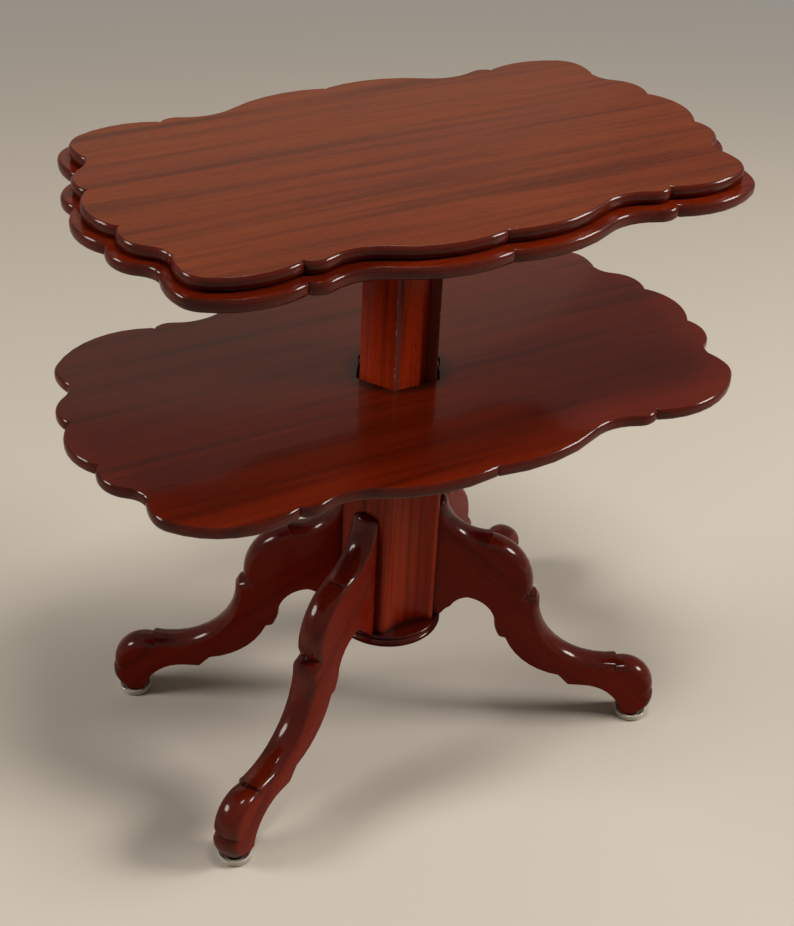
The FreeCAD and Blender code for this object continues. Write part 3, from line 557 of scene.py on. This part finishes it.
def long_side_of(half_depth, notch):
    """Lobe, hollow and bulge of a long side, between its middle nick and its outer one."""
    hollow_x, bulge_x = notch - 68 * MM, notch - 19 * MM
    hollow_y, bulge_y = half_depth - 37 * MM, half_depth - 26 * MM
    hollow_r = swing(bulge_x - hollow_x, bulge_y - hollow_y) - BULGE_R
    lobe_r = swing(hollow_x - LOBE_X, half_depth - hollow_y) - hollow_r
    lobe = Vector((LOBE_X, half_depth - lobe_r))
    hollow = Vector((hollow_x, hollow_y + hollow_r))
    bulge = Vector((bulge_x, bulge_y - BULGE_R))
    middle_notch = Vector((0.0, lobe.y + third_side(lobe_r, LOBE_X)))
    outer_notch = Vector((notch, bulge.y + third_side(BULGE_R, notch - bulge_x)))
    arcs = [
        tuple(shoulder(middle_notch, lobe, 1)),
        (lobe, lobe.lerp(hollow, lobe_r / (lobe_r + hollow_r))),
        (hollow, hollow.lerp(bulge, hollow_r / (hollow_r + BULGE_R))),
    ]
    return middle_notch, arcs, bulge, outer_notch


def corner_of(half_length, half_depth, notch, outer_notch):
    """Three tangent arcs round the corner lobe, with the centres of the first and the last."""
    crown_y = half_depth - 21.5 * MM - CROWN_R
    crown = Vector((notch + third_side(CROWN_R, outer_notch.y - crown_y), crown_y))
    side = Vector((half_length - 46.5 * MM - SIDE_R, SIDE_Y))
    near, far, apart = SIDE_R - CORNER_R, CROWN_R - CORNER_R, (side - crown).length
    along = (apart ** 2 + far ** 2 - near ** 2) / (2 * apart)
    run = (side - crown) / apart
    corner = crown + run * along + Vector((run.y, -run.x)) * third_side(far, along)
    arcs = [
        (crown, crown + (corner - crown) * CROWN_R / far),
        (corner, side + (corner - side) * SIDE_R / near),
    ]
    return crown, arcs, side


def end_of(half_length, side):
    """Cove, lobes and two nicks of an end, from the corner to the middle of the end."""
    corner_notch = Vector((side.x + third_side(SIDE_R, SIDE_DROP), CORNER_NOTCH_Y))
    end = Vector((half_length - 14 * MM - END_R, END_Y))
    sway = swing(corner_notch.y - end.y, end.x + END_R - corner_notch.x)
    cove = Vector((corner_notch.x + sway - END_R, corner_notch.y))
    end_notch = Vector((end.x + third_side(END_R, END_DROP), END_NOTCH_Y))
    end_lobe = Vector((half_length - swing(end_notch.y, half_length - end_notch.x), 0.0))
    return [
        *nick(corner_notch, side, cove, (-0.7, -0.7)),
        (cove, end.lerp(cove, END_R / sway)),
        *nick(end_notch, end, end_lobe, (-1.0, -0.1)),
        (end_lobe, (half_length, 0.0)),
    ]


def quarter_of(half_length, half_depth, notch):
    """Start and pen steps from the middle nick of a long side round to the middle of the end."""
    middle_notch, long_arcs, bulge, outer_notch = long_side_of(half_depth, notch)
    crown, corner_arcs, side = corner_of(half_length, half_depth, notch, outer_notch)
    outer_nick = nick(outer_notch, bulge, crown, (0.0, -1.0))
    start = (0.0, middle_notch.y - NICK_DEPTH)
    return start, [*long_arcs, *outer_nick, *corner_arcs, *end_of(half_length, side)]


print("outline ready")

# %% Sawing and moulding the three boards
BOARD_THICKNESS = 19 * MM
UPPER_ROUND, LOWER_ROUND = 8.0 * MM, 7.5 * MM
ARRIS_CUT, WAX_GAP = 1.5 * MM, 0.2 * MM
HOLE_REACH = 150 * MM


def hexagon(flat, front):
    """Corners of the pillar's hexagon: slanted sides at one distance, front and back at another."""
    slant = math.cos(math.radians(30))
    side, tip = flat / slant, (flat - front / 2) / slant
    return [(side, 0.0), (tip, front), (-tip, front), (-side, 0.0), (-tip, -front), (tip, -front)]


def rim_edges(bm, level):
    """The edges of a board's outline at a level, without those of its hole."""
    return [
        edge for edge in bm.edges
        if all(abs(vert.co.z - level) < 0.1 * MM and vert.co.xy.length > HOLE_REACH for vert in edge.verts)
        and any(abs(face.normal.z) < 0.5 for face in edge.link_faces)
    ]


def board(title, body, half_length, half_depth, notch, woods, shift, hole=None):
    bm = bmesh.new()
    pen(bm, *quarter_of(half_length, half_depth, notch))
    for axis in "XY":
        bmesh.ops.mirror(bm, geom=bm.verts[:] + bm.edges[:], axis=axis, merge_dist=0.05 * MM)
    rim = len(bm.verts)
    if hole:
        pen(bm, hole[0], hole[1:] + hole[:1])
    slab(bm, BOARD_THICKNESS + ARRIS_CUT)
    soften(bm, rim_edges(bm, BOARD_THICKNESS + ARRIS_CUT), UPPER_ROUND, 7)
    soften(bm, rim_edges(bm, 0.0), LOWER_ROUND, 5)
    top = (0.0, 0.0, BOARD_THICKNESS - WAX_GAP)
    planed = bmesh.ops.bisect_plane(bm, geom=everything(bm), plane_co=top, plane_no=UP, clear_outer=True)
    fill(bm, only(BMEdge, planed["geom_cut"]))
    bmesh.ops.recalc_face_normals(bm, faces=bm.faces)
    remember_grain(bm, shift=shift)
    # The flat top keeps the board's own colours; the moulded edge and the underside take the darker edge
    # colours, painted shade.
    for face in bm.faces:
        face.material_index = 0 if face.normal.z > 0.999 else 1
    move(bm, (0.0, 0.0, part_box(title)[0][2]))
    piece = finished(bm, title + "_moulded", body, woods, [title])
    for face in piece.data.polygons:
        face.use_smooth = face.normal.z > -0.999
    print(piece.name, rim, "points round the rim,", len(piece.data.polygons), "faces")


board("top_board", "top_carriage", 450 * MM, 261 * MM, 263 * MM,
      (TOP_WOOD, EDGE_WOOD), 0.3)
board("middle_board", "middle_carriage", 465 * MM, 279 * MM, 265 * MM,
      (MIDDLE_WOOD, EDGE_WOOD), 1.9, hole=hexagon(40 * MM, 38.5 * MM))
board("lower_board", "base", 496 * MM, 286 * MM, 276 * MM,
      (LOWER_WOOD, EDGE_WOOD), 4.1, hole=hexagon(59.5 * MM, 54.5 * MM))

# %% [markdown]
# ## The scrolled legs
# A leg is sawn from a plank 44 mm thick to a stepped scroll, and its upper side is carved to a broad
# crown that is tight at the sides and nearly flat in the middle. The pen draws the profile with X
# away from the column and Y upwards. A bevel on both upper edges of a narrow plank makes a half
# round, and stretching the plank to its thickness turns that into the flat crown. The finished leg
# is turned upright and swung to its corner of the column, with the grain along its slope.

# %% Sawing a leg
LEG_ANGLES = {"front_right": -30, "front_left": -150, "back_left": 150, "back_right": 30}
LEG_THICKNESS, LEG_CROWN = 44 * MM, 13 * MM
LEG_START = (72, 421)
LEG_UPPER = [
    ((80.7, 417.7), (85.2, 409.5)), ((101, 375), (158, 351)), (158.5, 346), ((209, 314), (228, 257)),
    (224, 246), (235, 242.5), (240.5, 234), ((272, 152), (376, 118.5)), (377, 112.5),
    ((424, 100), (440, 64)), (436.5, 57), (442, 51), ((440.5, 31.5), (428, 14)),
]
LEG_LOWER = [
    (392, 14), ((372, 52), (325, 71)), (300, 71), (282, 90), ((222, 118), (191, 162)), (181, 165),
    (172, 177), ((158, 223), (126, 240)), ((111, 235), (100, 222)), (92, 216), (83, 204), (72, 204),
]
CROWN_FROM_X, CROWN_FROM_Y, TOE_FROM_X = 72.5 * MM, 14.5 * MM, 200 * MM
FOOT_X = 410 * MM
PAD_HEIGHT, PAD_MIDDLE = 9 * MM, 9.5 * MM


def upper_edges(bm):
    """The long edges of the leg's upper side, from the column down to the sole of the toe."""
    found = []
    for edge in bm.edges:
        walls = [face for face in edge.link_faces if abs(face.normal.z) < 0.5]
        middle = (edge.verts[0].co + edge.verts[1].co) / 2
        if len(walls) == 1 and middle.y > CROWN_FROM_Y and middle.x > CROWN_FROM_X:
            if walls[0].normal.y > 0.0 or (walls[0].normal.x > 0.3 and middle.x > TOE_FROM_X):
                found.append(edge)
    return found


def foot_pad(bm):
    """A round pad under the toe, which stands in the cup."""
    pad = bmesh.ops.create_cone(
        bm, cap_ends=True, segments=32, radius1=16 * MM, radius2=17 * MM, depth=PAD_HEIGHT)["verts"]
    upright = Matrix.Rotation(math.radians(-90), 3, "X")
    bmesh.ops.rotate(bm, verts=pad, cent=(0, 0, 0), matrix=upright)
    bmesh.ops.translate(bm, verts=pad, vec=(FOOT_X, PAD_MIDDLE, LEG_THICKNESS / 2))


def leg(corner, angle, shift):
    bm = bmesh.new()
    outline = metres(LEG_UPPER + LEG_LOWER + [LEG_START], LEG_START)
    pen(bm, [c * MM for c in LEG_START], outline)
    slab(bm, 2 * LEG_CROWN)
    soften(bm, upper_edges(bm), 0.995 * LEG_CROWN, 7)
    bmesh.ops.scale(bm, verts=bm.verts, vec=(1.0, 1.0, LEG_THICKNESS / (2 * LEG_CROWN)))
    # The crown and the sawn edges take the darker crown colours, painted shade; the flat sides keep the
    # leg colours.
    for face in bm.faces:
        face.material_index = 1 if abs(face.normal.z) < 0.98 else 0
    foot_pad(bm)
    move(bm, (0.0, 0.0, -LEG_THICKNESS / 2))
    remember_grain(bm, (0.75, -0.65, 0.0), (0.65, 0.75, 0.0), shift)
    turn(bm, 90, "X")
    turn(bm, angle, "Z")
    node, woods = "leg_" + corner, [LEG_WOOD, CROWN_WOOD]
    return finished(bm, node + "_scrolled", "base", woods, [node], crease=32.0)


for number, (corner, angle) in enumerate(LEG_ANGLES.items()):
    piece = leg(corner, angle, 0.6 * number)
    print(piece.name, len(piece.data.polygons), "faces")

# %% [markdown]
# ## Column, base disc and cups
# The column is built of mitred staves; the flat ones keep their solids. The front and back panels
# carry a wide flute between two rolls, and the disc and the cups are turned, so those are made here
# with smooth curves: the panel is a drawn profile pulled up, the turned pieces are profiles spun
# about their axis.

# %% Fluted panels
PANEL_CORNER, PANEL_BACK = Vector((48.5, -60.0)) * MM, Vector((35.2, -51.0)) * MM
PANEL_ROLL, FLUTE_BOTTOM = Vector((41.5, -57.0)) * MM, -55.0 * MM


def other_side(point):
    """The same point on the other side of the panel."""
    return Vector((-point.x, point.y))


def panel_steps():
    """Roll, flute and roll of the panel's face, tangent to each other, and its mitred back."""
    roll_radius = (PANEL_CORNER - PANEL_ROLL).length
    lift = roll_radius + FLUTE_BOTTOM - PANEL_ROLL.y
    flute = Vector((0.0, PANEL_ROLL.y - (PANEL_ROLL.x ** 2 - lift ** 2) / (2 * lift)))
    joint = PANEL_ROLL + (flute - PANEL_ROLL).normalized() * roll_radius
    return [
        (PANEL_ROLL, joint),
        (flute, other_side(joint)),
        (other_side(PANEL_ROLL), other_side(PANEL_CORNER)),
        other_side(PANEL_BACK),
        PANEL_BACK,
        PANEL_CORNER,
    ]


def fluted_panel(side, angle):
    node = "column_panel_" + side
    low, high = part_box(node)
    bm = bmesh.new()
    pen(bm, PANEL_CORNER, panel_steps())
    slab(bm, high[2] - low[2])
    remember_grain(bm, (0, 0, 1), (1, 0, 0), 2.0 + math.radians(angle), NARROW)
    move(bm, (0.0, 0.0, low[2]))
    turn(bm, angle, "Z")
    return finished(bm, node + "_fluted", "base", [COLUMN_WOOD], [node])


for side, angle in (("front", 0), ("back", 180)):
    piece = fluted_panel(side, angle)
    print(piece.name, len(piece.data.polygons), "faces")

# %% Turned disc and cups
TURNED_STEPS = 64
DISC_PROFILE = [
    (0, 0), (72, 0), (78, 6), (84.5, 6), ((91.5, 12.8), (84.5, 19)), ((88, 22.5), (84, 26)), (0, 26),
]
CUP_PROFILE = [
    (0, 0), (22.5, 0), (26, 3), (26, 9.25), ((24.25, 11), (22.5, 9.25)), (22.5, 5), (0, 5),
]


def turned_piece(node, profile, place, material):
    """A profile of radius and height spun about an upright axis at a place."""
    bm = bmesh.new()
    pen(bm, [c * MM for c in profile[0]], metres(profile[1:], profile[0]))
    turn(bm, 90, "X")
    bmesh.ops.spin(
        bm, geom=bm.verts[:] + bm.edges[:], cent=(0, 0, 0), axis=(0, 0, 1),
        angle=math.tau, steps=TURNED_STEPS, use_merge=True,
    )
    bmesh.ops.remove_doubles(bm, verts=bm.verts, dist=SAME_POINT)
    bmesh.ops.recalc_face_normals(bm, faces=bm.faces)
    remember_grain(bm)
    move(bm, place)
    return finished(bm, node + "_turned", "base", [material], [node])


disc_place = (0, 0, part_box("base_disc")[0][2])
# The disc takes the darker crown colours, painted shade.
disc = turned_piece("base_disc", DISC_PROFILE, disc_place, CROWN_WOOD)
print(disc.name, len(disc.data.polygons), "faces")

for corner, angle in LEG_ANGLES.items():
    spot = Vector((FOOT_X, 0.0, 0.0))
    spot.rotate(Matrix.Rotation(math.radians(angle), 3, "Z"))
    cup = turned_piece("caster_cup_" + corner, CUP_PROFILE, spot, CLEAR)
print("four cups of", len(cup.data.polygons), "faces")

# %% [markdown]
# ## The sleeve
# The sleeve is four boards in two mitred pairs, open at front and back. Each board is drawn as a
# small trapezium, pulled up and given softened long edges. Use has chipped the arrises beside the
# slot, so they get the worn finish, and the faces inside the slot show cut wood, darkened with painted
# shade. Two of the boards have a shallow bed for a spring catch: cuts across and along the face free a
# rectangle, which is pushed in.

# %% Sleeve boards
SLEEVE_FLAT, SLEEVE_BORE = 55 * MM, 40 * MM
SLOT, SLEEVE_WING, BORE_WING = -25.98 * MM, 31.75 * MM, 23.09 * MM
SLEEVE_ARRIS, OUTER_FROM_X, LONG_EDGE = 0.6 * MM, 50 * MM, 100 * MM
BED_DEPTH, BED_HALF = 4 * MM, 9 * MM
BED_LOW, BED_HIGH = 634.3 * MM, 704.3 * MM
WITH_CATCH = ("front_right", "back_left")


def outer_arrises(bm):
    """The long edges of a sleeve board on its outer side."""
    return [
        edge for edge in bm.edges
        if abs(edge.verts[0].co.z - edge.verts[1].co.z) > LONG_EDGE and edge.verts[0].co.x > OUTER_FROM_X
    ]


def sink_bed(bm):
    """Cuts a rectangle free on the outer face and pushes it in."""
    for level in (BED_LOW, BED_HIGH):
        bmesh.ops.bisect_plane(bm, geom=everything(bm), plane_co=(0, 0, level), plane_no=(0, 0, 1))
    for edge_y in (-BED_HALF, BED_HALF):
        bmesh.ops.bisect_plane(bm, geom=everything(bm), plane_co=(0, edge_y, 0), plane_no=(0, 1, 0))
    bed = []
    for face in bm.faces:
        middle = face.calc_center_median()
        if face.normal.x > 0.9 and abs(middle.y) < BED_HALF and BED_LOW < middle.z < BED_HIGH:
            bed.append(face)
    sunk = bmesh.ops.extrude_face_region(bm, geom=bed)
    bmesh.ops.translate(bm, verts=only(BMVert, sunk["geom"]), vec=(-BED_DEPTH, 0.0, 0.0))
    bmesh.ops.delete(bm, geom=bed, context="FACES_ONLY")


def sleeve_board(corner, angle, shift):
    node = "sleeve_stave_" + corner
    low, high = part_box(node)
    hand = 1 if corner in WITH_CATCH else -1
    bm = bmesh.new()
    outline = [
        (SLEEVE_FLAT, SLEEVE_WING * hand), (SLEEVE_FLAT, SLOT * hand),
        (SLEEVE_BORE, SLOT * hand), (SLEEVE_BORE, BORE_WING * hand),
    ]
    pen(bm, outline[0], outline[1:] + outline[:1])
    slab(bm, high[2] - low[2])
    move(bm, (0.0, 0.0, low[2]))
    soften(bm, outer_arrises(bm), SLEEVE_ARRIS, 2)
    # Faces inside the slot take the darker cut colours, partly painted shade; the softened arrises next to
    # them take the chipped finish.
    for face in bm.faces:
        toward_slot = -face.normal.y * hand
        face.material_index = 2 if toward_slot > 0.95 else 1 if toward_slot > 0.2 else 0
    if corner in WITH_CATCH:
        sink_bed(bm)
    remember_grain(bm, (0, 0, 1), (0, 1, 0), shift, NARROW)
    turn(bm, angle, "Z")
    woods = [SLEEVE_WOOD, WORN_WOOD, SHADED_CUT_WOOD]
    return finished(bm, node + "_softened", "middle_carriage", woods, [node])


for number, (corner, angle) in enumerate(LEG_ANGLES.items()):
    piece = sleeve_board(corner, angle, 5.0 + number)
    print(piece.name, len(piece.data.polygons), "faces")

# %% [markdown]
# ## Spring catches
# A leaf of black iron is screwed into its bed and its foot springs out, so that the raised tier
# stands on it. The leaf is a bent strip drawn from the side and given its width. When the tier is
# lowered, the leaf is pressed flat.

# %% Bent leaves
LEAF_FLOOR, LEAF_SKIN, LEAF_TOP, LEAF_ROOT = -4.0, 1.5, 62.0, 36.0
LEAF_WIDTH = 16 * MM
BEND_OUT, BEND_UP = 0.28, 0.45
POST_FLAT = 39.5 * MM
SLEEVE_LEAF_FOOT, POST_LEAF_FOOT = 638.3 * MM, 657.3 * MM


def leaf(node, body, angle, face, foot, swing_out, joint=None):
    travel = swing_out - LEAF_FLOOR - LEAF_SKIN
    bend = (LEAF_FLOOR + travel * BEND_OUT, LEAF_ROOT * BEND_UP)
    start, skin = (LEAF_FLOOR, LEAF_TOP), LEAF_FLOOR + LEAF_SKIN
    outline = [
        (skin, LEAF_TOP), (skin, LEAF_ROOT), ((bend[0] + LEAF_SKIN, bend[1]), (swing_out, 0.0)),
        (swing_out - LEAF_SKIN, 0.0), (bend, (LEAF_FLOOR, LEAF_ROOT)), start,
    ]
    bm = bmesh.new()
    pen(bm, [c * MM for c in start], metres(outline, start))
    slab(bm, LEAF_WIDTH)
    move(bm, (face, 0.0, -LEAF_WIDTH / 2))
    turn(bm, 90, "X")
    move(bm, (0.0, 0.0, foot))
    turn(bm, angle, "Z")
    piece = finished(bm, node + "_sprung", body, [IRON], [node])
    if joint:
        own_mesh(piece)


for corner in WITH_CATCH:
    angle = LEG_ANGLES[corner]
    leaf("sleeve_catch_" + corner, "middle_carriage", angle,
         face=SLEEVE_FLAT, foot=SLEEVE_LEAF_FOOT, swing_out=4.5, joint="middle_lift")
    leaf("post_catch_" + corner, "top_carriage", angle,
         face=POST_FLAT, foot=POST_LEAF_FOOT, swing_out=-0.4)
print("four leaves bent")

# %% [markdown]
# ## Finishes on the remaining solids
# Flat staves, the post and the hidden pieces keep their solids. They only need a finish: upright
# grain for what stands, raw wood for what is hidden, pale wood for dowels and steel for screws.

# %% Painting the solids
FINISH_BY_WORD = {
    "column_stave": UPRIGHT_WOOD,
    "inner_post": POST_WOOD,
    "column_top_plate": RAW_WOOD,
    "sleeve_cleat": RAW_WOOD,
    "post_stop_block": RAW_WOOD,
    "_dowels": DOWEL_WOOD,
    "_screws": STEEL,
}
painted = set()
for word, finish in FINISH_BY_WORD.items():
    for name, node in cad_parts.items():
        if name.startswith(word) or name.endswith(word):
            node.data.materials.clear()
            node.data.materials.append(finish)
            painted.add(name)
print(len(painted), "solids painted")

# %% [markdown]
# ## Studio
# Polish is shown by what it reflects. A ceiling lamp draws the highlights along the edges and the
# crowns, a broad lamp from the front right and one from the left light the sides, and a weak warm one
# stands behind. The pale floor carries the shadow and fades into the backdrop. The backdrop's glow
# shows to the camera, in reflections and through the cups; other light comes from the lamps and a
# weak fill from the room.

# %% Floor
ROOM_FILL, BACKDROP = 0.12, 0.34
BACKDROP_COLOUR, FLOOR_COLOUR = (1.0, 0.96, 0.90, 1.0), (0.60, 0.54, 0.46, 1.0)
BLACK = (0.0, 0.0, 0.0, 1.0)
FLOOR_SIZE, FADE_FROM, FADE_TO = 14.0, 2.4, 5.6


def seen_rays(tree):
    """1 for what is seen straight, mirrored or through the cups, and 0 for light that falls on things."""
    ray = tree.nodes.new("ShaderNodeLightPath").outputs
    seen = combined(tree, "MAXIMUM", ray["Is Camera Ray"], ray["Is Glossy Ray"])
    return combined(tree, "MAXIMUM", seen, ray["Is Transmission Ray"])


bpy.ops.mesh.primitive_plane_add(size=FLOOR_SIZE)
floor = bpy.context.object
floor.name = "studio_floor"
pale_floor, tree, shader = shaded("studio_floor", roughness=0.8)
fade = ranged(tree, distance(tree, object_place(tree)), FADE_FROM, FADE_TO)
link(tree, mixed(tree, fade, FLOOR_COLOUR, BLACK), shader.inputs["Base Color"])
glow = mixed(tree, fade, BLACK, BACKDROP_COLOUR)
link(tree, mixed(tree, seen_rays(tree), BLACK, glow), shader.inputs["Emission Color"])
shader.inputs["Emission Strength"].default_value = BACKDROP
shader.inputs["Specular IOR Level"].default_value = 0.1
floor.data.materials.append(pale_floor)
print("floor laid")

# %% Light
LAMP_WHITE, LAMP_WARM = (1.0, 0.97, 0.93), (1.0, 0.78, 0.55)


def soft_light(title, place, aim, size, power, colour=LAMP_WHITE):
    data = bpy.data.lights.new(title, "AREA")
    data.shape = "ELLIPSE"
    data.size, data.size_y = size
    data.energy = power
    data.color = colour
    lamp = bpy.data.objects.new(title, data)
    lamp.location = place
    lamp.rotation_euler = (Vector(aim) - Vector(place)).to_track_quat("-Z", "Y").to_euler()
    scene.collection.objects.link(lamp)


soft_light("ceiling", place=(0.1, -0.6, 3.9), aim=(0.0, -0.2, 0.0), size=(1.1, 0.7), power=56.0)
soft_light("right", place=(3.5, -1.8, 2.7), aim=(0.0, -0.1, 0.4), size=(1.6, 1.2), power=140.0)
soft_light("left", place=(-3.6, 1.3, 2.6), aim=(0.0, 0.0, 0.4), size=(1.6, 1.2), power=88.0)
soft_light("back", place=(1.2, 3.8, 2.4), aim=(0.0, 0.0, 0.5), size=(3.5, 1.4), power=6.0,
           colour=LAMP_WARM)

world = bpy.data.worlds.new("studio")
scene.world = world
world.use_nodes = True
tree = world.node_tree
sky = tree.nodes["Background"].inputs
sky["Color"].default_value = BACKDROP_COLOUR
link(tree, ranged(tree, seen_rays(tree), 0.0, 1.0, ROOM_FILL, BACKDROP), sky["Strength"])
print("studio lit")

# %% [markdown]
# ## Camera
# The camera looks down on the boards from the front left, a little higher than a person's eyes.

# %% Camera
IMAGE_HEIGHT = 926
FOCAL_PIXELS = 1611.0
CAMERA_PLACE = (-0.99476, -1.73515, 1.81973)
CAMERA_AXES = (
    (0.87941, -0.47421, 0.04203),
    (0.23479, 0.50881, 0.82824),
    (-0.41415, -0.71850, 0.55879),
)
camera_data = bpy.data.cameras.new("camera")
camera_data.sensor_fit = "VERTICAL"
camera_data.sensor_height = 24.0
camera_data.lens = FOCAL_PIXELS * camera_data.sensor_height / IMAGE_HEIGHT
camera = bpy.data.objects.new("camera", camera_data)
scene.collection.objects.link(camera)
camera.matrix_world = Matrix.Translation(CAMERA_PLACE) @ Matrix(CAMERA_AXES).transposed().to_4x4()
scene.camera = camera
print("camera lens", round(camera_data.lens, 2), "mm")
